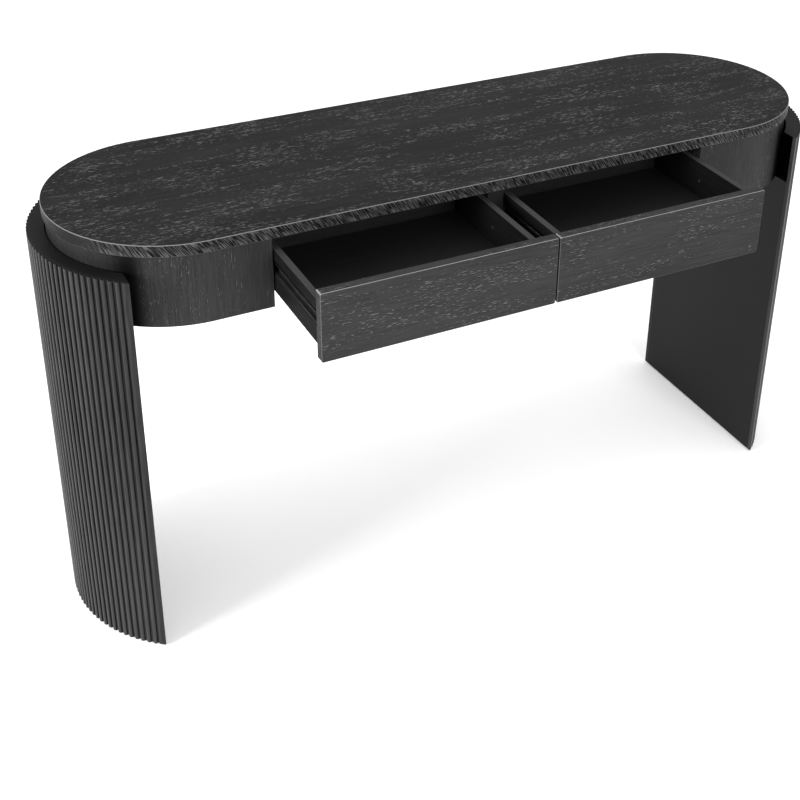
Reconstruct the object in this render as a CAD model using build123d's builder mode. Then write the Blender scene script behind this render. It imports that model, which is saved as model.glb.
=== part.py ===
from build123d import *
import math

# Console table: a round-ended top on a drawer carcass, carried by two reeded D-shaped legs.
# Frame: origin on the floor under the middle of the top, +X along the table, -Y to the front,
# +Z up. All sizes in mm. The drawers are built partly open, as they stand at rest here.

# --- Driving dimensions -------------------------------------------------------------------
table_height = 760.0
top_length = 1400.0
top_width = 400.0
top_thickness = 20.0

apron_inset = 4.0
apron_height = 122.0
board = 18.0
partition_thickness = 30.0
partition_height = 104.0
partition_setback = 22.0
opening_half = 402.5

leg_radius = 236.0
leg_centre_x = 490.0
leg_flat_x = 625.0
leg_core_thickness = 20.0
leg_skin_thickness = 4.5
leg_ledge_drop = 28.0
reed_depth = 3.5
reed_pitches = 38
reed_gap = 3.2
reed_land_drop = 0.8
glide_height = 3.0

front_thickness = 16.0
front_top_gap = 5.0
front_gap = 3.0
front_side_gap = 2.0
box_length = 290.0
box_bottom = 644.0
box_height = 74.0
box_side = 12.0
box_floor = 5.0
floor_lift = 6.0
floor_tongue = 6.0
drawer_open = 182.0

slide_length = 280.0
slide_height = 27.0
slide_thickness = 10.0
slide_sheet = 1.2
slide_travel = 207.0
slide_setback = 18.0
ball_radius = 1.6
ball_count = 5
ball_pitch = 14.0

soft_edge = 1.0
top_edge = 1.5
fit_gap = 0.1

# --- Worked-out sizes ---------------------------------------------------------------------
top_underside = table_height - top_thickness
apron_length = top_length - 2 * apron_inset
apron_width = top_width - 2 * apron_inset
apron_bottom = top_underside - apron_height
apron_face_y = apron_width / 2
bay_back_y = apron_face_y - board

leg_height = top_underside - leg_ledge_drop - glide_height
reed_floor_radius = leg_radius - reed_depth
skin_inner_radius = reed_floor_radius - leg_skin_thickness
leg_inner_radius = skin_inner_radius - leg_core_thickness
leg_body_height = apron_bottom - glide_height

front_width = opening_half - front_side_gap - front_gap / 2
front_height = apron_height - front_top_gap
front_face_y = -apron_face_y - drawer_open
box_front_y = front_face_y + front_thickness
box_back_y = box_front_y + box_length
box_inner_x = partition_thickness / 2 + front_side_gap
box_outer_x = opening_half - front_side_gap
floor_z = box_bottom + floor_lift

slide_z = box_bottom + 42.0
slide_front_y = -apron_face_y + slide_setback
slide_middle_y = slide_front_y + slide_length / 2
groove_depth = slide_thickness - front_side_gap
groove_height = slide_height + 1.0


def finish(piece, label):
    """Name a finished piece and write its STEP file."""
    piece.part.label = label
    export_step(piece.part, f"parts/{label}.step")


def screw(shank_radius, head_radius, head_depth, length, countersunk, gap=0.0):
    """One screw with its head's outer face on Z = 0 and its shank down -Z; gap widens it to a hole."""
    shank = shank_radius + gap
    head = head_radius + gap
    with BuildPart() as one_screw:
        with Locations((0, 0, -length / 2)):
            Cylinder(shank, length)
        with Locations((0, 0, -head_depth / 2)):
            if countersunk:
                Cone(shank, head, head_depth)
            else:
                Cylinder(head, head_depth)
    return one_screw.part


def facing(x, y, z, direction):
    """A plane at a point whose normal, the way a screw's head looks, is direction."""
    return Plane(origin=(x, y, z), z_dir=direction)


# --- Top ----------------------------------------------------------------------------------
cleat = 18.0
cleat_screw_length = 30.0
cleat_screw = screw(2.0, 4.0, 2.5, cleat_screw_length, True)
cleat_hole = screw(2.0, 4.0, 2.5, cleat_screw_length, True, fit_gap)
cleat_z = top_underside - cleat / 2
partition_cleat_x = (partition_thickness + cleat) / 2
cheek_cleat_x = opening_half + board + cleat / 2
side_cleat_length = 300.0
back_cleat_x = 220.0
back_cleat_y = bay_back_y - cleat / 2
back_cleat_length = 320.0
cleat_screw_points = [
    (side * x, y, top_underside - cleat)
    for side in (-1, 1)
    for x, y in (
        (partition_cleat_x, -110),
        (partition_cleat_x, 110),
        (cheek_cleat_x, -110),
        (cheek_cleat_x, 110),
        (back_cleat_x - 110, back_cleat_y),
        (back_cleat_x + 110, back_cleat_y),
    )
]
cleat_screw_places = [facing(*point, (0, 0, -1)) for point in cleat_screw_points]

with BuildPart() as table_top:
    with BuildSketch(Plane.XY.offset(top_underside)):
        SlotOverall(top_length, top_width)
    extrude(amount=top_thickness)
    fillet(table_top.edges().group_by(Axis.Z)[-1], radius=top_edge)
    fillet(table_top.edges().group_by(Axis.Z)[0], radius=soft_edge)
    with Locations(*cleat_screw_places):
        add(cleat_hole, mode=Mode.SUBTRACT)
finish(table_top, "table_top")

with BuildPart() as partition_cleats:
    with Locations((-partition_cleat_x, 0, cleat_z), (partition_cleat_x, 0, cleat_z)):
        Box(cleat, side_cleat_length, cleat)
    with Locations(*cleat_screw_places):
        add(cleat_hole, mode=Mode.SUBTRACT)
finish(partition_cleats, "partition_cleats")

with BuildPart() as cheek_cleats:
    with Locations((-cheek_cleat_x, 0, cleat_z), (cheek_cleat_x, 0, cleat_z)):
        Box(cleat, side_cleat_length, cleat)
    with Locations(*cleat_screw_places):
        add(cleat_hole, mode=Mode.SUBTRACT)
finish(cheek_cleats, "cheek_cleats")

with BuildPart() as back_cleats:
    with Locations((-back_cleat_x, back_cleat_y, cleat_z), (back_cleat_x, back_cleat_y, cleat_z)):
        Box(back_cleat_length, cleat, cleat)
    with Locations(*cleat_screw_places):
        add(cleat_hole, mode=Mode.SUBTRACT)
finish(back_cleats, "back_cleats")

with BuildPart() as cleat_screws:
    with Locations(*cleat_screw_places):
        add(cleat_screw)
finish(cleat_screws, "cleat_screws")

# --- Slides' places, shared by the carcass and the drawers ---------------------------------
# Each slide lies on a carcass face and reaches from it towards its drawer.
slide_screw_offsets = (20.0, 140.0, 260.0)
carcass_screw = screw(1.75, 3.2, slide_sheet, 13.0, True)
carcass_screw_hole = screw(1.75, 3.2, slide_sheet, 13.0, True, fit_gap)
slide_places = []
for drawer_name, side in (("left_drawer", -1), ("right_drawer", 1)):
    slide_places.append((drawer_name, "outer", side * opening_half, -side))
    slide_places.append((drawer_name, "inner", side * partition_thickness / 2, side))
carcass_screw_places = [
    facing(face_x + toward * slide_sheet, slide_front_y + offset_y, slide_z, (toward, 0, 0))
    for drawer_name, place, face_x, toward in slide_places
    for offset_y in slide_screw_offsets
]

# --- Drawer carcass -----------------------------------------------------------------------
end_length = apron_length / 2 - opening_half
for side_name, side in (("left", -1), ("right", 1)):
    with BuildPart() as apron_end:
        with BuildSketch(Plane.XY.offset(apron_bottom)):
            SlotOverall(apron_length, apron_width)
            SlotOverall(apron_length - 2 * board, apron_width - 2 * board, mode=Mode.SUBTRACT)
            with Locations((side * (opening_half + end_length / 2), 0)):
                Rectangle(end_length, apron_width, mode=Mode.INTERSECT)
        extrude(amount=apron_height)
        front_end_edges = (
            apron_end.edges()
            .filter_by(Axis.Z)
            .filter_by_position(Axis.Y, -apron_face_y - 1, -bay_back_y + 1)
            .filter_by_position(Axis.X, *sorted((side * (opening_half - 1), side * (opening_half + 1))))
        )
        fillet(front_end_edges, radius=soft_edge)
    finish(apron_end, f"{side_name}_apron_end")

    with BuildPart() as cheek:
        with Locations((side * (opening_half + board / 2), 0, apron_bottom + apron_height / 2)):
            Box(board, 2 * bay_back_y, apron_height)
        with Locations(*carcass_screw_places):
            add(carcass_screw_hole, mode=Mode.SUBTRACT)
    finish(cheek, f"{side_name}_cheek")

with BuildPart() as back_apron:
    with Locations((0, apron_face_y - board / 2, apron_bottom + apron_height / 2)):
        Box(2 * opening_half, board, apron_height)
finish(back_apron, "back_apron")

partition_depth = apron_face_y - partition_setback + bay_back_y
with BuildPart() as centre_partition:
    with Locations((0, bay_back_y - partition_depth / 2, top_underside - partition_height / 2)):
        Box(partition_thickness, partition_depth, partition_height)
    with Locations(*carcass_screw_places):
        add(carcass_screw_hole, mode=Mode.SUBTRACT)
finish(centre_partition, "centre_partition")

with BuildPart() as carcass_slide_screws:
    with Locations(*carcass_screw_places):
        add(carcass_screw)
finish(carcass_slide_screws, "carcass_slide_screws")

# --- Legs ---------------------------------------------------------------------------------
# A leg is a curved core board with a reeded skin round it, cut off flat towards the middle of
# the table. It stands free round the carcass end. Below the carcass a flat panel, let into the
# core's ends, closes it, with plates inside.
flat_offset = leg_flat_x - leg_centre_x
half_angle = math.degrees(math.acos(flat_offset / reed_floor_radius))
reed_angle = 2 * half_angle / reed_pitches
gap_angle = math.degrees(reed_gap / reed_floor_radius)
land_radius = leg_radius - reed_land_drop
land_half_angle = math.degrees(math.acos(flat_offset / land_radius))
skin_half_angle = math.degrees(math.acos(flat_offset / skin_inner_radius))

leg_bolt_points = [(652.0, -66.0), (652.0, 66.0), (663.0, -24.0), (663.0, 24.0)]
bolt_radius = 4.0
bolt_head_radius = 6.5
bolt_head_height = 8.0
bolt_length = 30.0
washer_radius = 10.0
washer_thickness = 1.6
insert_radius = 6.0
insert_length = 15.0
mount_board_start = 560.0
mount_board_length = apron_length / 2 - mount_board_start
rib_z = 300.0
glide_points = [(655.0, -95.0), (655.0, 95.0), (680.0, 0.0)]
glide_radius = 12.0
glide_pin_radius = 1.5
glide_pin_length = 12.0


def polar(radius, degrees):
    """A point of the leg's plan, on a circle about the leg's own centre."""
    angle = math.radians(degrees)
    return (leg_centre_x + radius * math.cos(angle), radius * math.sin(angle))


def leg_plate(radius, start_x, length, bottom, thickness):
    """A flat board filling the leg's plan inside a radius, from start_x outwards, for the right leg."""
    with BuildPart() as plate:
        with BuildSketch(Plane.XY.offset(bottom)):
            with Locations((leg_centre_x, 0)):
                Circle(radius)
            with Locations((start_x + length / 2, 0)):
                Rectangle(length, 2 * radius, mode=Mode.INTERSECT)
        extrude(amount=thickness)
    return plate.part


# The skin's outline runs from one cut edge to the other: a plain land, then reeds with flat
# grooves between them, then the other land, and back along the inner face.
with BuildPart() as right_skin:
    with BuildSketch(Plane.XY.offset(glide_height)):
        with BuildLine():
            for side in (-1, 1):
                edge_angle = side * land_half_angle
                land_end = side * (half_angle - reed_angle + gap_angle / 2)
                Line(polar(skin_inner_radius, side * skin_half_angle), polar(land_radius, edge_angle))
                ThreePointArc(
                    polar(land_radius, edge_angle),
                    polar(land_radius, (edge_angle + land_end) / 2),
                    polar(land_radius, land_end),
                )
                Line(polar(land_radius, land_end), polar(reed_floor_radius, land_end))
            for groove in range(1, reed_pitches):
                middle = -half_angle + groove * reed_angle
                ThreePointArc(
                    polar(reed_floor_radius, middle - gap_angle / 2),
                    polar(reed_floor_radius, middle),
                    polar(reed_floor_radius, middle + gap_angle / 2),
                )
            for reed in range(1, reed_pitches - 1):
                middle = -half_angle + (reed + 0.5) * reed_angle
                reach = (reed_angle - gap_angle) / 2
                ThreePointArc(
                    polar(reed_floor_radius, middle - reach),
                    polar(leg_radius, middle),
                    polar(reed_floor_radius, middle + reach),
                )
            ThreePointArc(
                polar(skin_inner_radius, skin_half_angle),
                polar(skin_inner_radius, 0),
                polar(skin_inner_radius, -skin_half_angle),
            )
        make_face()
    extrude(amount=leg_height)

core_length = leg_centre_x + skin_inner_radius - leg_flat_x
with BuildPart() as right_core:
    with BuildSketch(Plane.XY.offset(glide_height)):
        with Locations((leg_centre_x, 0)):
            Circle(skin_inner_radius)
            Circle(leg_inner_radius, mode=Mode.SUBTRACT)
        with Locations((leg_flat_x + core_length / 2, 0)):
            Rectangle(core_length, 2 * skin_inner_radius, mode=Mode.INTERSECT)
    extrude(amount=leg_height)
    with Locations((leg_flat_x + board / 2, 0, glide_height + leg_body_height / 2)):
        Box(board, 2 * skin_inner_radius, leg_body_height, mode=Mode.SUBTRACT)

plate_start = leg_flat_x + board
plate_length = leg_centre_x + leg_inner_radius - plate_start
right_panel = leg_plate(skin_inner_radius, leg_flat_x, board, glide_height, leg_body_height)
right_rib = leg_plate(leg_inner_radius, plate_start, plate_length, rib_z, board)

with BuildPart() as right_top_plate:
    add(leg_plate(leg_inner_radius, plate_start, plate_length, apron_bottom - board, board))
    with Locations(*[(x, y, apron_bottom - insert_length / 2) for x, y in leg_bolt_points]):
        Cylinder(insert_radius + fit_gap / 2, insert_length, mode=Mode.SUBTRACT)
    with Locations(*[(x, y, apron_bottom - board / 2) for x, y in leg_bolt_points]):
        Cylinder(bolt_radius + fit_gap, board, mode=Mode.SUBTRACT)

with BuildPart() as right_base:
    add(leg_plate(leg_inner_radius, plate_start, plate_length, glide_height, board))
    with Locations(*[(x, y, glide_height + glide_pin_length / 2) for x, y in glide_points]):
        Cylinder(glide_pin_radius + fit_gap, glide_pin_length + fit_gap, mode=Mode.SUBTRACT)

with BuildPart() as right_glides:
    with Locations(*[(x, y, glide_height / 2) for x, y in glide_points]):
        Cylinder(glide_radius, glide_height)
    fillet(right_glides.edges().group_by(Axis.Z)[0], radius=soft_edge)
    with Locations(*[(x, y, glide_height + glide_pin_length / 2 - fit_gap) for x, y in glide_points]):
        Cylinder(glide_pin_radius, glide_pin_length - fit_gap)

with BuildPart() as right_mount_board:
    with BuildSketch(Plane.XY.offset(apron_bottom)):
        SlotOverall(apron_length - 2 * board, apron_width - 2 * board)
        with Locations((mount_board_start + mount_board_length / 2, 0)):
            Rectangle(mount_board_length, apron_width, mode=Mode.INTERSECT)
    extrude(amount=board)
    with Locations(*[(x, y, apron_bottom + board / 2) for x, y in leg_bolt_points]):
        Cylinder(bolt_radius + 5 * fit_gap, board, mode=Mode.SUBTRACT)

for side_name in ("left", "right"):
    for label, right_part in (
        ("leg_skin", right_skin.part),
        ("leg_core", right_core.part),
        ("leg_panel", right_panel),
        ("leg_top_plate", right_top_plate.part),
        ("leg_rib", right_rib),
        ("leg_base", right_base.part),
        ("leg_glides", right_glides.part),
        ("mount_board", right_mount_board.part),
    ):
        with BuildPart() as leg_piece:
            add(right_part)
            if side_name == "left":
                mirror(about=Plane.YZ, mode=Mode.REPLACE)
        finish(leg_piece, f"{side_name}_{label}")

both_bolt_points = [(side * x, y) for side in (-1, 1) for x, y in leg_bolt_points]
washer_bottom = apron_bottom + board
head_bottom = washer_bottom + washer_thickness

with BuildPart() as leg_washers:
    with Locations(*[(x, y, washer_bottom + washer_thickness / 2) for x, y in both_bolt_points]):
        Cylinder(washer_radius, washer_thickness)
        Cylinder(bolt_radius + 3 * fit_gap, washer_thickness, mode=Mode.SUBTRACT)
finish(leg_washers, "leg_washers")

with BuildPart() as leg_bolts:
    with Locations(*[(x, y, head_bottom + bolt_head_height / 2) for x, y in both_bolt_points]):
        Cylinder(bolt_head_radius, bolt_head_height)
    with Locations(*[(x, y, head_bottom - bolt_length / 2) for x, y in both_bolt_points]):
        Cylinder(bolt_radius, bolt_length)
    with BuildSketch(Plane.XY.offset(head_bottom + bolt_head_height)):
        with Locations(*both_bolt_points):
            RegularPolygon(radius=3.0, side_count=6, major_radius=False)
    extrude(amount=-bolt_head_height / 2, mode=Mode.SUBTRACT)
finish(leg_bolts, "leg_bolts")

with BuildPart() as leg_inserts:
    with Locations(*[(x, y, apron_bottom - insert_length / 2) for x, y in both_bolt_points]):
        Cylinder(insert_radius, insert_length)
        Cylinder(bolt_radius + fit_gap / 2, insert_length, mode=Mode.SUBTRACT)
finish(leg_inserts, "leg_inserts")

# --- Slides -------------------------------------------------------------------------------
# Profile axes: first from the carcass face towards the drawer, second up. A ball cage moves
# half as far as the drawer, so at rest it has travelled half of the drawer's opening.
cage_sheet = 0.6
cage_start = slide_sheet + 0.4
cage_reach = 7.5
cage_length = slide_length - slide_travel - 3.0
cage_middle_y = slide_middle_y - drawer_open / 2
ball_line = 5.0
ball_height = 10.65
cage_height = 2 * ball_height + cage_sheet
ball_hole = ball_radius + 0.15
outer_flange = 8.5
inner_start = 2.6
inner_end = slide_thickness
inner_height = 18.0
inner_middle_y = slide_middle_y - drawer_open


def channel(plane, start, end, height, sheet, web_at_start, length):
    """A C channel between two distances from the carcass face, centred on the plane's origin."""
    web = start if web_at_start else end - sheet
    with BuildPart() as profile:
        with BuildSketch(plane):
            with Locations(((start + end) / 2, 0)):
                Rectangle(end - start, height)
            hollow_start = start + sheet if web_at_start else start
            hollow_end = end if web_at_start else web
            with Locations(((hollow_start + hollow_end) / 2, 0)):
                Rectangle(hollow_end - hollow_start, height - 2 * sheet, mode=Mode.SUBTRACT)
        extrude(amount=length / 2, both=True)
    return profile.part


drawer_screw = screw(1.5, 3.0, 1.5, 1.5 + box_side - groove_depth + slide_sheet, False)
drawer_screw_hole = screw(1.5, 3.0, 1.5, 1.5 + box_side - groove_depth + slide_sheet, False, fit_gap)
drawer_screw_places = {"left_drawer": [], "right_drawer": []}

for drawer_name, place, face_x, toward in slide_places:
    across = (toward, 0, 0)
    along = (0, -toward, 0)
    carcass_plane = Plane(origin=(face_x, slide_middle_y, slide_z), x_dir=across, z_dir=along)
    cage_plane = Plane(origin=(face_x, cage_middle_y, slide_z), x_dir=across, z_dir=along)
    drawer_plane = Plane(origin=(face_x, inner_middle_y, slide_z), x_dir=across, z_dir=along)
    head_x = face_x + toward * (slide_thickness + box_side - groove_depth + 1.5)
    member_places = [
        facing(head_x, inner_middle_y - slide_length / 2 + offset_y, slide_z, (toward, 0, 0))
        for offset_y in slide_screw_offsets
    ]
    drawer_screw_places[drawer_name] += member_places

    with BuildPart() as carcass_member:
        add(channel(carcass_plane, 0.0, outer_flange, slide_height, slide_sheet, True, slide_length))
        with Locations(*carcass_screw_places):
            add(carcass_screw_hole, mode=Mode.SUBTRACT)
    finish(carcass_member, f"{drawer_name}_{place}_slide_carcass_member")

    with BuildPart() as drawer_member:
        add(channel(drawer_plane, inner_start, inner_end, inner_height, slide_sheet, False, slide_length))
        with Locations(*member_places):
            add(drawer_screw_hole, mode=Mode.SUBTRACT)
    finish(drawer_member, f"{drawer_name}_{place}_slide_drawer_member")

    ball_points = [
        (face_x + toward * ball_line, cage_middle_y + (number - (ball_count - 1) / 2) * ball_pitch)
        for number in range(ball_count)
    ]
    with BuildPart() as ball_cage:
        add(channel(cage_plane, cage_start, cage_reach, cage_height, cage_sheet, True, cage_length))
        with Locations(*[(x, y, slide_z) for x, y in ball_points]):
            Cylinder(ball_hole, slide_height, mode=Mode.SUBTRACT)
        with Locations(*[(x, y, slide_z + row * ball_height) for x, y in ball_points for row in (-1, 1)]):
            Sphere(ball_radius)
    finish(ball_cage, f"{drawer_name}_{place}_slide_ball_cage")

# --- Drawers ------------------------------------------------------------------------------
side_faces = {"inner": box_inner_x, "outer": box_outer_x - box_side}
dowel_radius = 3.0
dowel_length = 24.0
dowel_in_front = 9.0
dowel_y = box_front_y - dowel_in_front + dowel_length / 2
joint_heights = (box_bottom + 16.0, box_bottom + 65.0)
back_screw = screw(1.75, 3.5, 2.2, 35.0, True)
back_screw_hole = screw(1.75, 3.5, 2.2, 35.0, True, fit_gap)
back_z = floor_z + box_floor
back_height = box_bottom + box_height - back_z
floor_start_x = box_inner_x + box_side - floor_tongue
floor_end_x = box_outer_x - box_side + floor_tongue
floor_length = box_back_y - box_front_y + floor_tongue
floor_middle_y = box_back_y - floor_length / 2
front_corner = 3.0
front_middle_y = front_face_y + front_thickness / 2
front_middle_z = apron_bottom + front_height / 2
box_middle_x = (box_inner_x + box_outer_x) / 2
box_middle_y = (box_front_y + box_back_y) / 2
box_middle_z = box_bottom + box_height / 2

for drawer_name, side in (("left_drawer", -1), ("right_drawer", 1)):
    dowel_places = [
        Location((side * (face + box_side / 2), dowel_y, z), (90, 0, 0))
        for face in side_faces.values()
        for z in joint_heights
    ]
    back_screw_places = [
        facing(side * x, box_back_y - box_side / 2, z, (side * out, 0, 0))
        for x, out in ((box_inner_x, -1), (box_outer_x, 1))
        for z in joint_heights
    ]
    floor_centre = (side * (floor_start_x + floor_end_x) / 2, floor_middle_y, floor_z + box_floor / 2)
    floor_width = floor_end_x - floor_start_x

    with BuildPart() as drawer_front:
        with Locations((side * (front_gap + front_width) / 2, front_middle_y, front_middle_z)):
            Box(front_width, front_thickness, front_height)
        fillet(drawer_front.edges().filter_by(Axis.Y), radius=front_corner)
        fillet(drawer_front.faces().sort_by(Axis.Y)[0].edges(), radius=soft_edge)
        with Locations(floor_centre):
            Box(floor_width, floor_length, box_floor, mode=Mode.SUBTRACT)
        with Locations(*dowel_places):
            Cylinder(dowel_radius, dowel_length, mode=Mode.SUBTRACT)
    finish(drawer_front, f"{drawer_name}_front")

    for place, face in side_faces.items():
        groove_x = face + groove_depth / 2 if place == "inner" else face + box_side - groove_depth / 2
        with BuildPart() as box_wall:
            with Locations((side * (face + box_side / 2), box_middle_y, box_middle_z)):
                Box(box_side, box_length, box_height)
            fillet(box_wall.edges().group_by(Axis.Z)[-1].filter_by(Axis.Y), radius=soft_edge)
            with Locations((side * groove_x, box_middle_y, slide_z)):
                Box(groove_depth, box_length, groove_height, mode=Mode.SUBTRACT)
            with Locations(floor_centre):
                Box(floor_width, floor_length, box_floor, mode=Mode.SUBTRACT)
            with Locations(*dowel_places):
                Cylinder(dowel_radius, dowel_length, mode=Mode.SUBTRACT)
            with Locations(*back_screw_places):
                add(back_screw_hole, mode=Mode.SUBTRACT)
            with Locations(*drawer_screw_places[drawer_name]):
                add(drawer_screw_hole, mode=Mode.SUBTRACT)
        finish(box_wall, f"{drawer_name}_{place}_side")

    with BuildPart() as drawer_back:
        with Locations((side * box_middle_x, box_back_y - box_side / 2, back_z + back_height / 2)):
            Box(box_outer_x - box_inner_x - 2 * box_side, box_side, back_height)
        with Locations(*back_screw_places):
            add(back_screw_hole, mode=Mode.SUBTRACT)
    finish(drawer_back, f"{drawer_name}_back")

    with BuildPart() as drawer_bottom:
        with Locations(floor_centre):
            Box(floor_width, floor_length, box_floor)
    finish(drawer_bottom, f"{drawer_name}_bottom")

    with BuildPart() as drawer_dowels:
        with Locations(*dowel_places):
            Cylinder(dowel_radius - fit_gap / 2, dowel_length - fit_gap)
    finish(drawer_dowels, f"{drawer_name}_dowels")

    with BuildPart() as drawer_back_screws:
        with Locations(*back_screw_places):
            add(back_screw)
    finish(drawer_back_screws, f"{drawer_name}_back_screws")

    with BuildPart() as drawer_slide_screws:
        with Locations(*drawer_screw_places[drawer_name]):
            add(drawer_screw)
    finish(drawer_slide_screws, f"{drawer_name}_slide_screws")
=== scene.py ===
import math

import bpy
from mathutils import Matrix, Vector


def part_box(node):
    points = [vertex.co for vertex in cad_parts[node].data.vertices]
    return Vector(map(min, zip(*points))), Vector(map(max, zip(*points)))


# The looks of a black oak console table with reeded legs, on a pale floor. Everything is in
# metres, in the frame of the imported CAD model: +X along the table, -Y to the front, +Z up.
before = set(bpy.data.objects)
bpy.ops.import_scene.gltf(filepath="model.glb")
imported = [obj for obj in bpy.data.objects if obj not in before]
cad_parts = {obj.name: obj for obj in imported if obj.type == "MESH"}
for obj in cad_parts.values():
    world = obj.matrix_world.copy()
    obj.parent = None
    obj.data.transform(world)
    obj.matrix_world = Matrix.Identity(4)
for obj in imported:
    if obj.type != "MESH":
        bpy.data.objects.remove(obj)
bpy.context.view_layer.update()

# --- Small helpers for shader trees ----------------------------------------------------------


def plug(tree, socket, value):
    """Set a socket from a number or colour, or link it to another node's output."""
    if isinstance(value, bpy.types.NodeSocket):
        tree.links.new(value, socket)
    else:
        socket.default_value = value


def node(tree, kind, inputs=None, **settings):
    """Add a shader node, with its settings and its inputs by name or number."""
    made = tree.nodes.new(kind)
    for name, value in settings.items():
        setattr(made, name, value)
    for key, value in (inputs or {}).items():
        plug(tree, made.inputs[key], value)
    return made


def maths(tree, operation, *values):
    """One Math node's result."""
    made = node(tree, "ShaderNodeMath", operation=operation)
    for socket, value in zip(made.inputs, values):
        plug(tree, socket, value)
    return made.outputs[0]


def ramp(tree, value, low, high, start=0.0, end=1.0):
    """Map low..high smoothly to start..end, held flat outside."""
    return node(
        tree,
        "ShaderNodeMapRange",
        {"Value": value, "From Min": low, "From Max": high, "To Min": start, "To Max": end},
        interpolation_type="SMOOTHSTEP",
    ).outputs[0]


def noise(tree, vector, scale, detail=2.0, roughness=0.5):
    """A noise value about 0.5, on the given vector."""
    inputs = {"Vector": vector, "Scale": scale, "Detail": detail, "Roughness": roughness}
    return node(tree, "ShaderNodeTexNoise", inputs).outputs[0]


def blend(tree, share, first, second):
    """Mix two colours by a share."""
    made = node(tree, "ShaderNodeMix", data_type="RGBA")
    plug(tree, made.inputs["Factor"], share)
    plug(tree, made.inputs["A"], first)
    plug(tree, made.inputs["B"], second)
    return made.outputs["Result"]


def grey(value, warmth=0.0):
    """A grey in linear light, slightly warm or cool."""
    return (value * (1 + warmth), value, value * (1 - warmth), 1.0)


def surface(name, specular=0.5, metallic=0.0):
    """A material with one Principled shader, and that shader's tree."""
    made = bpy.data.materials.new(name)
    made.use_nodes = True
    shader = made.node_tree.nodes["Principled BSDF"]
    shader.inputs["Specular IOR Level"].default_value = specular
    shader.inputs["Metallic"].default_value = metallic
    return made, made.node_tree, shader


def bump(tree, height, strength, distance):
    """A normal bent by a height."""
    return node(
        tree, "ShaderNodeBump", {"Height": height, "Strength": strength, "Distance": distance}
    ).outputs[0]


def place(tree):
    """The point on the piece, in the shared frame."""
    return node(tree, "ShaderNodeTexCoord").outputs["Object"]


def numbers(tree, vector):
    """A vector's three numbers."""
    return list(node(tree, "ShaderNodeSeparateXYZ", {0: vector}).outputs)


def normals(tree):
    """How far the true surface faces along each axis, as three numbers from -1 to 1."""
    return numbers(tree, node(tree, "ShaderNodeNewGeometry").outputs["True Normal"])


def facing(tree):
    """How far the true surface faces along each axis either way, as three numbers from 0 to 1."""
    return [maths(tree, "ABSOLUTE", value) for value in normals(tree)]


def stretched(tree, vector, scales):
    """A vector with its axes scaled apart."""
    return node(
        tree, "ShaderNodeVectorMath", {0: vector, 1: scales}, operation="MULTIPLY"
    ).outputs[0]


# --- Materials -------------------------------------------------------------------------------
X, Y, Z = 0, 1, 2

# Sizes of the legs' curved skin that its masks follow, in metres.
LEG_CENTRE = 0.490
LEG_RADIUS = 0.236
LEG_FLAT = 0.625
REED_DEPTH = 0.0035

# The oak's patterns: (length along the grain, width across it) in metres.
CLOUD_CELL = (0.35, 0.08)
FINE_CELL = (0.06, 0.0022)
PATCH_CELL = (0.14, 0.045)
ROW_CELL = (0.20, 0.006)
PORE_CELL = (0.009, 0.0013)
PORE_SHADE = 0.0012
PORE_SOFTNESS = 0.05
NO_PORES = 0.76

# The lacquer's patterns on the reeds, and on flat wood.
REED_FINE_CELL = (0.05, 0.0018)
REED_SLOW_CELL = (0.5, 0.05)
LACQUER_FINE_CELL = (0.05, 0.0015)
LACQUER_SLOW_CELL = (0.4, 0.08)

# Faces turned this far to an axis count as cut square across it: (start, end) of the mask.
SQUARE_ON = (0.97, 0.995)

# Slanting strokes on the top's edge band.
STROKE_LEAN = 0.75
STROKES_PER_METRE = 820.0
STROKE_BREAKS_PER_METRE = 40.0
STROKE_LIMITS = (0.51, 0.60)
STROKE_END_TURN = (0.65, 1.15)

# Painted shade on the apron where it goes in behind a leg's edge: it darkens, then lightens again
# behind the leg.
APRON_DARKENS = (LEG_FLAT - 0.040, LEG_FLAT - 0.010)
APRON_LIGHTENS = (LEG_FLAT - 0.005, LEG_FLAT + 0.025)
APRON_DARKEST = 0.97
APRON_LIGHTER = 0.65

# Heights on a leg, in metres: its skin is painted lighter from the floor up to here, as light
# thrown up by the floor.
BOUNCE_LIGHT_HEIGHT = 0.4


def grain_scales(along, length, width):
    """Scales that stretch a pattern to length along the grain and width across it."""
    return tuple(1 / length if axis == along else 1 / width for axis in range(3))


def grain(tree, vector, along, cell, detail=2.0, roughness=0.5):
    """A noise about 0.5, drawn out along the grain to cells of a length and a width."""
    scaled = stretched(tree, vector, grain_scales(along, *cell))
    return noise(tree, scaled, 1.0, detail, roughness)


def pore_marks(tree, vector, along, limit):
    """Short irregular marks along the grain, where a noise rises over a limit."""
    inputs = {
        "Vector": stretched(tree, vector, grain_scales(along, *PORE_CELL)),
        "Scale": 1.0,
        "Detail": 1.0,
        "Distortion": 0.5,
    }
    value = node(tree, "ShaderNodeTexNoise", inputs).outputs[0]
    return ramp(tree, maths(tree, "SUBTRACT", value, limit), 0.0, PORE_SOFTNESS)


def oak_grain(tree, along, down, dense):
    """Open-grain oak: (lit pores, shaded pores, fine grain about 0.5, slow cloud about 0.5)."""
    vector = place(tree)
    cloud = grain(tree, vector, along, CLOUD_CELL)
    fine = grain(tree, vector, along, FINE_CELL, roughness=0.6)
    patches = grain(tree, vector, along, PATCH_CELL, roughness=0.6)
    rows = grain(tree, vector, along, ROW_CELL, detail=1.0)
    patches = maths(tree, "MULTIPLY_ADD", rows, 0.4, maths(tree, "MULTIPLY", patches, 0.6))
    limit = ramp(tree, patches, 0.40, 0.58, NO_PORES, dense)
    lit = pore_marks(tree, vector, along, limit)
    step = tuple(PORE_SHADE if axis == down else 0.0 for axis in range(3))
    moved = node(tree, "ShaderNodeVectorMath", {0: vector, 1: step}, operation="ADD").outputs[0]
    return lit, pore_marks(tree, moved, along, limit), fine, cloud


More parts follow.
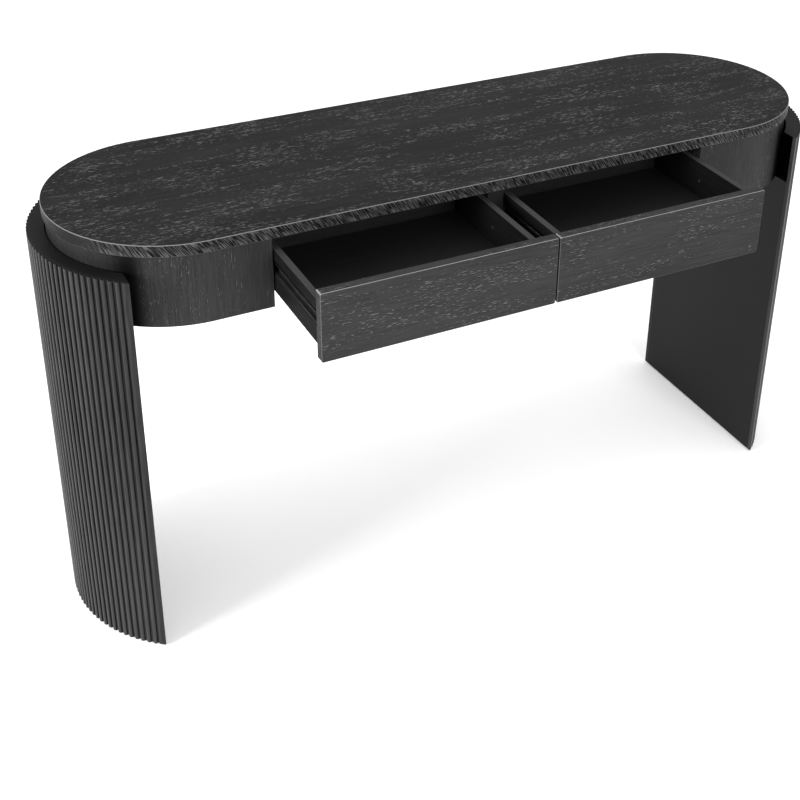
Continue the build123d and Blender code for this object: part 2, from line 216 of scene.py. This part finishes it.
def arris_highlights(tree, round_plan):
    """Masks of the eased edges for a painted highlight, where the surface faces between flat sides:
    (upper, other).
    """
    sides = facing(tree)
    if round_plan:
        rise = ramp(tree, sides[Z], 0.10, 0.40)
        fall = ramp(tree, sides[Z], 0.90, 0.99, 1.0, 0.0)
        every = maths(tree, "MULTIPLY", rise, fall)
    else:
        most = maths(tree, "MAXIMUM", maths(tree, "MAXIMUM", sides[X], sides[Y]), sides[Z])
        every = ramp(tree, most, 0.90, 0.985, 1.0, 0.0)
    upper = maths(tree, "MULTIPLY", every, ramp(tree, normals(tree)[Z], 0.1, 0.4))
    return upper, maths(tree, "SUBTRACT", every, upper)


def wood_tone(tree, fine, cloud, tone, contrast=0.35):
    """A stain's colour, varied by the fine grain and the slow cloud."""
    mixed = maths(tree, "MULTIPLY_ADD", cloud, 0.4, maths(tree, "MULTIPLY", fine, 0.6))
    low, high = grey(tone * (1 - contrast)), grey(tone * (1 + contrast))
    return blend(tree, ramp(tree, mixed, 0.36, 0.64), low, high)


def open_pored(tree, along, down, dense, tone, pore_tone, contrast=0.35):
    """Stained oak's colour with its pores, and two masks: (colour, lit pores, height)."""
    lit, shaded, fine, cloud = oak_grain(tree, along, down, dense)
    wood = wood_tone(tree, fine, cloud, tone, contrast)
    wood = blend(tree, shaded, wood, grey(tone * 0.3))
    wood = blend(tree, lit, wood, grey(pore_tone))
    return wood, lit, maths(tree, "SUBTRACT", maths(tree, "MULTIPLY", fine, 0.3), shaded)


def shade_beside_leg(tree, wood, tone):
    """Paint shade into an apron's colour where it goes in behind a leg's edge."""
    reach = maths(tree, "ABSOLUTE", numbers(tree, place(tree))[X])
    darker = ramp(tree, reach, *APRON_DARKENS, 0.0, APRON_DARKEST)
    lighter = ramp(tree, reach, *APRON_LIGHTENS, 0.0, APRON_LIGHTER)
    return blend(tree, maths(tree, "SUBTRACT", darker, lighter), wood, grey(tone * 0.02))


def oak(
    name,
    along,
    down,
    tone,
    pore_tone,
    dense,
    round_plan=False,
    arris_highlight_tone=0.10,
    contrast=0.35,
    other_highlight_share=0.25,
):
    """Black-stained oak veneer with open pores, lit on one side and shaded on the other."""
    made, tree, shader = surface(name, specular=0.08)
    wood, lit, height = open_pored(tree, along, down, dense, tone, pore_tone, contrast)
    # Painted highlight on the eased edges, brightest on the upper ones.
    upper, other = arris_highlights(tree, round_plan)
    wood = blend(tree, other, wood, grey(arris_highlight_tone * other_highlight_share))
    wood = blend(tree, upper, wood, grey(arris_highlight_tone))
    if round_plan:
        wood = shade_beside_leg(tree, wood, tone)
    plug(tree, shader.inputs["Base Color"], wood)
    plug(tree, shader.inputs["Roughness"], maths(tree, "MULTIPLY_ADD", lit, 0.2, 0.48))
    plug(tree, shader.inputs["Normal"], bump(tree, height, 0.4, 0.0003))
    return made


def along_edge(tree, axes, straight, end_radius):
    """How far a point is along a round-ended edge, and its turn round an end in radians."""
    beyond = maths(tree, "SUBTRACT", maths(tree, "ABSOLUTE", axes[X]), straight)
    past = maths(tree, "MAXIMUM", beyond, 0.0)
    turn = maths(tree, "ARCTAN2", past, maths(tree, "ABSOLUTE", axes[Y]))
    outward = maths(tree, "SIGN", axes[X])
    bend = maths(tree, "MULTIPLY", turn, maths(tree, "MULTIPLY", outward, end_radius))
    held = maths(tree, "MINIMUM", maths(tree, "MAXIMUM", axes[X], -straight), straight)
    return maths(tree, "ADD", bend, held), turn


def edge_strokes(tree):
    """Slanting strokes round the top's edge, and how far they still show towards its ends."""
    low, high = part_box("table_top")
    end_radius = (high.y - low.y) / 2
    straight = (high.x - low.x) / 2 - end_radius
    axes = numbers(tree, place(tree))
    run, turn = along_edge(tree, axes, straight, end_radius)
    lean = maths(tree, "MULTIPLY_ADD", axes[Z], STROKE_LEAN, run)
    across = maths(tree, "MULTIPLY", lean, STROKES_PER_METRE)
    up = maths(tree, "MULTIPLY", axes[Z], STROKE_BREAKS_PER_METRE)
    band = node(tree, "ShaderNodeCombineXYZ", {0: across, 1: up}).outputs[0]
    strokes = ramp(tree, noise(tree, band, 1.0, 1.0), *STROKE_LIMITS)
    fade = ramp(tree, turn, *STROKE_END_TURN, 1.0, 0.0)
    return maths(tree, "MULTIPLY", strokes, fade), fade


def top_oak(name, tone, pore_tone, edge_tone, arris_highlight_tone):
    """The top's veneer: grain along X on the faces, slanting strokes on the edge band."""
    made, tree, shader = surface(name, specular=0.04)
    wood, lit, height = open_pored(tree, X, Y, 0.60, tone, pore_tone)
    strokes, fade = edge_strokes(tree)
    # Round the ends the edge band is painted lighter, a painted highlight, and its strokes fade out
    # there.
    edge = blend(tree, fade, grey(edge_tone * 0.10), grey(edge_tone * 0.05))
    edge = blend(tree, strokes, edge, grey(edge_tone))
    on_edge = ramp(tree, facing(tree)[Z], 0.1, 0.4, 1.0, 0.0)
    skin = blend(tree, on_edge, wood, edge)
    # Painted highlight on the eased edges, brightest on the upper ones.
    upper, other = arris_highlights(tree, round_plan=True)
    skin = blend(tree, other, skin, grey(arris_highlight_tone * 0.5))
    skin = blend(tree, upper, skin, grey(arris_highlight_tone))
    plug(tree, shader.inputs["Base Color"], skin)
    rough = maths(tree, "MULTIPLY_ADD", lit, 0.15, 0.50)
    rough = maths(tree, "MULTIPLY_ADD", on_edge, -0.1, rough)
    plug(tree, shader.inputs["Roughness"], rough)
    height = maths(tree, "ADD", height, maths(tree, "MULTIPLY", strokes, on_edge))
    plug(tree, shader.inputs["Normal"], bump(tree, height, 0.4, 0.0004))
    return made


def leg_radius_at(tree, axes, outward):
    """A point's distance from the axis of a leg's curve; outward is 1 on the right, -1 left."""
    centre = outward * LEG_CENTRE
    along_x = maths(tree, "POWER", maths(tree, "SUBTRACT", axes[X], centre), 2.0)
    along_y = maths(tree, "POWER", axes[Y], 2.0)
    return maths(tree, "SQRT", maths(tree, "ADD", along_x, along_y))


def reeded_wood(name, skin_node, tone):
    """Matt black lacquer on reeds: painted shade low on each flank, glossy on the crests, painted
    light from the floor low down.
    """
    made, tree, shader = surface(name)
    vector = place(tree)
    axes = numbers(tree, vector)
    outward = 1 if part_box(skin_node)[1].x > 0 else -1
    radius = leg_radius_at(tree, axes, outward)
    floor_radius = LEG_RADIUS - REED_DEPTH
    crest = ramp(tree, radius, floor_radius + 0.0005, LEG_RADIUS - 0.0003)
    body_share = ramp(tree, radius, floor_radius + 0.0003, floor_radius + 0.0009, 0.85, 0.0)
    reach = maths(tree, "ABSOLUTE", axes[X])
    land = ramp(tree, reach, LEG_FLAT + 0.005, LEG_FLAT + 0.008, 0.25, 0.0)
    fine = grain(tree, vector, Z, REED_FINE_CELL)
    slow = grain(tree, vector, Z, REED_SLOW_CELL)
    body = wood_tone(tree, fine, slow, tone)
    # Painted light thrown up by the floor: the skin is lighter low down.
    floor_bounce_light = ramp(tree, axes[Z], 0.0, BOUNCE_LIGHT_HEIGHT, 0.35, 0.0)
    body = blend(tree, floor_bounce_light, body, grey(tone * 2))
    # Painted shade low on each reed's flanks, with less of it on the groove floor.
    groove_shade = blend(tree, body_share, grey(tone * 0.06), body)
    body = blend(tree, crest, groove_shade, body)
    body = blend(tree, land, body, grey(tone * 0.3))
    sides = facing(tree)
    # Painted light on faces turned square to X, the skin's cut ends.
    body = blend(tree, ramp(tree, sides[X], *SQUARE_ON), body, grey(tone * 2.2))
    # Painted shade on the skin's flat top and bottom faces.
    top_face = ramp(tree, sides[Z], 0.5, 0.9)
    body = blend(tree, top_face, body, grey(tone * 0.45))
    plug(tree, shader.inputs["Base Color"], body)
    plug(tree, shader.inputs["Roughness"], ramp(tree, crest, 0.0, 1.0, 0.6, 0.36))
    crest_gloss = ramp(tree, crest, 0.1, 0.8, 0.0, 0.12)
    gloss = maths(tree, "SUBTRACT", crest_gloss, maths(tree, "MULTIPLY", land, 0.3))
    gloss = maths(tree, "MAXIMUM", gloss, maths(tree, "MULTIPLY", top_face, 0.08))
    plug(tree, shader.inputs["Specular IOR Level"], gloss)
    plug(tree, shader.inputs["Normal"], bump(tree, fine, 0.25, 0.0002))
    return made


def lacquered_wood(name, along, tone, specular, shade_above=None):
    """Smooth black lacquer with the grain just showing; cut ends over a height are painted black as
    shade.
    """
    made, tree, shader = surface(name, specular=specular)
    vector = place(tree)
    fine = grain(tree, vector, along, LACQUER_FINE_CELL, detail=3.0)
    slow = grain(tree, vector, along, LACQUER_SLOW_CELL)
    mixed = maths(tree, "MULTIPLY_ADD", slow, 0.6, maths(tree, "MULTIPLY", fine, 0.4))
    face = blend(tree, ramp(tree, mixed, 0.35, 0.65), grey(tone * 0.85), grey(tone * 1.15))
    if shade_above is not None:
        # Painted shade: square cut ends above this height are painted black, with no gloss.
        above = ramp(tree, numbers(tree, vector)[Z], shade_above, shade_above + 0.002)
        square = ramp(tree, facing(tree)[X], *SQUARE_ON, 0.0, 0.9)
        cut_end_shade = maths(tree, "MULTIPLY", above, square)
        face = blend(tree, cut_end_shade, face, grey(0.0))
        gloss = ramp(tree, cut_end_shade, 0.0, 1.0, specular, 0.0)
        plug(tree, shader.inputs["Specular IOR Level"], gloss)
    plug(tree, shader.inputs["Base Color"], face)
    plug(tree, shader.inputs["Roughness"], ramp(tree, mixed, 0.3, 0.7, 0.42, 0.54))
    plug(tree, shader.inputs["Normal"], bump(tree, fine, 0.25, 0.0002))
    return made


def board(name, along, tone, specular=0.25, upper_highlight_gain=1.0):
    """Black-faced board, matt, with a faint printed grain; upward faces may get a painted
    highlight.
    """
    made, tree, shader = surface(name, specular=specular)
    vector = place(tree)
    streak = grain(tree, vector, along, (0.06, 0.002), detail=4.0, roughness=0.6)
    speck = noise(tree, vector, 900.0, 2.0)
    mixed = maths(tree, "MULTIPLY_ADD", speck, 0.3, maths(tree, "MULTIPLY", streak, 0.7))
    face = blend(tree, ramp(tree, mixed, 0.35, 0.65), grey(tone * 0.75), grey(tone * 1.35))
    # Painted highlight on upward faces, by a gain on the tone.
    face = blend(tree, ramp(tree, normals(tree)[Z], 0.8, 0.95), face, grey(tone * upper_highlight_gain))
    plug(tree, shader.inputs["Base Color"], face)
    plug(tree, shader.inputs["Roughness"], ramp(tree, streak, 0.3, 0.7, 0.54, 0.68))
    plug(tree, shader.inputs["Normal"], bump(tree, mixed, 0.2, 0.0002))
    return made


def softwood(name, along):
    """Bare planed softwood with darker late-wood lines."""
    made, tree, shader = surface(name, specular=0.3)
    vector = place(tree)
    warp = grain(tree, vector, along, (0.35, 0.04))
    lines = maths(tree, "SINE", maths(tree, "MULTIPLY", warp, 70.0))
    fibre = grain(tree, vector, along, (0.03, 0.0008), detail=3.0)
    share = maths(tree, "MULTIPLY_ADD", fibre, 0.5, maths(tree, "MULTIPLY_ADD", lines, 0.25, 0.25))
    early_wood = (0.56, 0.41, 0.25, 1.0)
    late_wood = (0.36, 0.22, 0.11, 1.0)
    tone = blend(tree, ramp(tree, share, 0.2, 0.9), early_wood, late_wood)
    plug(tree, shader.inputs["Base Color"], tone)
    plug(tree, shader.inputs["Roughness"], ramp(tree, fibre, 0.3, 0.7, 0.5, 0.7))
    plug(tree, shader.inputs["Normal"], bump(tree, fibre, 0.3, 0.0003))
    return made


def coated_metal(name, low, high, metallic, roughness, along=Y):
    """Plated or oxidised steel and brass: drawn along one axis, clouded and a little scuffed."""
    made, tree, shader = surface(name, specular=0.5, metallic=metallic)
    vector = place(tree)
    drawn = grain(tree, vector, along, (0.08, 0.0006), detail=3.0)
    cloud = noise(tree, vector, 45.0, 3.0)
    share = maths(tree, "MULTIPLY_ADD", drawn, 0.5, maths(tree, "MULTIPLY", cloud, 0.5))
    tone = blend(tree, ramp(tree, share, 0.35, 0.65), low, high)
    plug(tree, shader.inputs["Base Color"], tone)
    plug(tree, shader.inputs["Roughness"], ramp(tree, share, 0.3, 0.7, roughness, roughness + 0.15))
    plug(tree, shader.inputs["Normal"], bump(tree, drawn, 0.15, 0.0001))
    return made


def nylon(name):
    """Moulded black nylon with a fine spark texture."""
    made, tree, shader = surface(name, specular=0.4)
    spark = noise(tree, place(tree), 1500.0, 3.0)
    tone = blend(tree, ramp(tree, spark, 0.35, 0.65), grey(0.016), grey(0.03))
    plug(tree, shader.inputs["Base Color"], tone)
    plug(tree, shader.inputs["Roughness"], ramp(tree, spark, 0.3, 0.7, 0.5, 0.65))
    plug(tree, shader.inputs["Normal"], bump(tree, spark, 0.3, 0.0002))
    return made


def dress(material, *nodes):
    """Give CAD nodes a material in all their slots."""
    for name in nodes:
        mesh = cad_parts[name].data
        if not mesh.materials:
            mesh.materials.append(material)
        for number in range(len(mesh.materials)):
            mesh.materials[number] = material


SIDES = ("left", "right")
DRAWERS = ("left_drawer", "right_drawer")
PLACES = ("inner", "outer")

dress(
    top_oak("black_oak_top", tone=0.0110, pore_tone=0.125, edge_tone=0.085, arris_highlight_tone=0.14),
    "table_top",
)
dress(
    oak("black_oak_apron", Z, X, 0.0200, 0.07, 0.64, round_plan=True, contrast=0.25),
    "left_apron_end",
    "right_apron_end",
)
dress(oak("black_oak_back", X, Z, 0.024, 0.07, 0.64), "back_apron")
dress(
    oak(
        "black_oak_front",
        X,
        Z,
        0.0210,
        0.095,
        0.615,
        arris_highlight_tone=0.20,
        contrast=0.25,
        other_highlight_share=0.45,
    ),
    *[f"{d}_front" for d in DRAWERS],
)
for side in SIDES:
    skin = f"{side}_leg_skin"
    dress(reeded_wood(f"{side}_black_reeds", skin, 0.021), skin)
dress(
    lacquered_wood("black_leg_panel", Z, 0.0085, specular=0.10),
    *[f"{side}_leg_panel" for side in SIDES],
)
# The leg cores' cut ends above the panels' top get painted shade.
panel_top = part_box("left_leg_panel")[1].z
dress(
    lacquered_wood("black_leg_core", Z, 0.008, specular=0.05, shade_above=panel_top),
    *[f"{side}_leg_core" for side in SIDES],
)
# The drawer sides' upward faces, their top edges, get a bright painted highlight.
dress(
    board("drawer_board_along", Y, 0.005, specular=0.05, upper_highlight_gain=8.0),
    *[f"{d}_{p}_side" for d in DRAWERS for p in PLACES],
)
dress(
    board("drawer_board_across", X, 0.012, specular=0.15),
    *[f"{d}_{n}" for d in DRAWERS for n in ("back", "bottom")],
)
dress(
    board("carcass_board_along", Y, 0.011, specular=0.10),
    "centre_partition",
    "left_cheek",
    "right_cheek",
)
dress(
    board("leg_board", X, 0.018),
    *[
        f"{side}_{n}"
        for side in SIDES
        for n in ("leg_top_plate", "leg_rib", "leg_base", "mount_board")
    ],
)
dress(softwood("softwood_along_y", Y), "partition_cleats", "cheek_cleats")
dress(softwood("softwood_along_x", X), "back_cleats")
dress(softwood("dowel_wood", Y), *[f"{d}_dowels" for d in DRAWERS])
dress(
    coated_metal("black_zinc", grey(0.012), grey(0.04), 0.6, 0.35),
    *[
        f"{d}_{p}_slide_{n}"
        for d in DRAWERS
        for p in PLACES
        for n in ("carcass_member", "drawer_member", "ball_cage")
    ],
)
dress(
    coated_metal("black_oxide", grey(0.04), grey(0.09), 0.8, 0.38),
    "cleat_screws",
    "carcass_slide_screws",
    "leg_bolts",
    "leg_washers",
    *[f"{d}_{n}" for d in DRAWERS for n in ("back_screws", "slide_screws")],
)
dress(
    coated_metal("insert_brass", (0.50, 0.34, 0.12, 1.0), (0.72, 0.52, 0.22, 1.0), 1.0, 0.25, Z),
    "leg_inserts",
)
dress(nylon("black_nylon"), *[f"{side}_leg_glides" for side in SIDES])

# --- Floor, light and camera -----------------------------------------------------------------
FLOOR_HALF = 14.0
FLOOR_GLOW = 0.09
ROOM_STRENGTH = 0.90


def pale_floor():
    """A plain pale floor under the table, glowing a little so that its shadows stay light."""
    mesh = bpy.data.meshes.new("floor")
    low, high = -FLOOR_HALF, FLOOR_HALF
    corners = [(low, low, 0.0), (high, low, 0.0), (high, high, 0.0), (low, high, 0.0)]
    mesh.from_pydata(corners, [], [(0, 1, 2, 3)])
    made = bpy.data.objects.new("floor", mesh)
    bpy.context.scene.collection.objects.link(made)
    material, tree, shader = surface("pale_floor", specular=0.2)
    shade = ramp(tree, noise(tree, place(tree), 3.0, 3.0), 0.3, 0.7)
    plug(tree, shader.inputs["Base Color"], blend(tree, shade, grey(0.95), grey(0.97)))
    shader.inputs["Roughness"].default_value = 0.85
    shader.inputs["Emission Color"].default_value = grey(1.0)
    shader.inputs["Emission Strength"].default_value = FLOOR_GLOW
    mesh.materials.append(material)


def softbox(name, position, target, size, power):
    """A square area light at a position that looks at a point; power in watts."""
    data = bpy.data.lights.new(name, "AREA")
    data.shape = "SQUARE"
    data.size = size
    data.energy = power
    made = bpy.data.objects.new(name, data)
    bpy.context.scene.collection.objects.link(made)
    aim = [t - p for t, p in zip(target, position)]
    made.location = position
    made.rotation_mode = "QUATERNION"
    made.rotation_quaternion = Vector(aim).to_track_quat("-Z", "Y")


def white_room(strength):
    """Even white light from all round."""
    world = bpy.data.worlds.new("white_room")
    bpy.context.scene.world = world
    world.use_nodes = True
    back = world.node_tree.nodes["Background"]
    back.inputs["Color"].default_value = (1.0, 1.0, 1.0, 1.0)
    back.inputs["Strength"].default_value = strength


pale_floor()
white_room(ROOM_STRENGTH)
softbox("key", position=(-3.8, -0.6, 1.5), target=(-0.4, 0.0, 0.45), size=1.4, power=160.0)
softbox("front", position=(0.6, -4.4, 1.8), target=(0.1, 0.0, 0.3), size=2.4, power=150.0)
softbox("above", position=(0.4, 0.6, 3.4), target=(0.0, 0.0, 0.7), size=2.4, power=30.0)

# The camera stands above the left front corner; angles in degrees, lens in mm.
SENSOR_WIDTH = 36.0
CAMERA_PLACE = (-1.0485, -1.9874, 1.7415)
CAMERA_AZIMUTH = 28.940
CAMERA_ELEVATION = 28.313
CAMERA_ROLL = 1.673
CAMERA_LENS = 62.981
CAMERA_SHIFT = (-0.0875, -0.1875)


def photo_camera():
    """Add the camera, turned right, tipped down and rolled by the angles above."""
    azimuth, elevation, roll = (
        math.radians(angle) for angle in (CAMERA_AZIMUTH, CAMERA_ELEVATION, CAMERA_ROLL)
    )
    data = bpy.data.cameras.new("camera")
    data.sensor_width = SENSOR_WIDTH
    data.lens = CAMERA_LENS
    data.shift_x, data.shift_y = CAMERA_SHIFT
    made = bpy.data.objects.new("camera", data)
    bpy.context.scene.collection.objects.link(made)
    turn = Matrix.Rotation(-azimuth, 4, "Z") @ Matrix.Rotation(math.pi / 2 - elevation, 4, "X")
    made.matrix_world = Matrix.Translation(CAMERA_PLACE) @ turn @ Matrix.Rotation(roll, 4, "Z")
    bpy.context.scene.camera = made


photo_camera()
bpy.context.scene.view_settings.view_transform = "Standard"
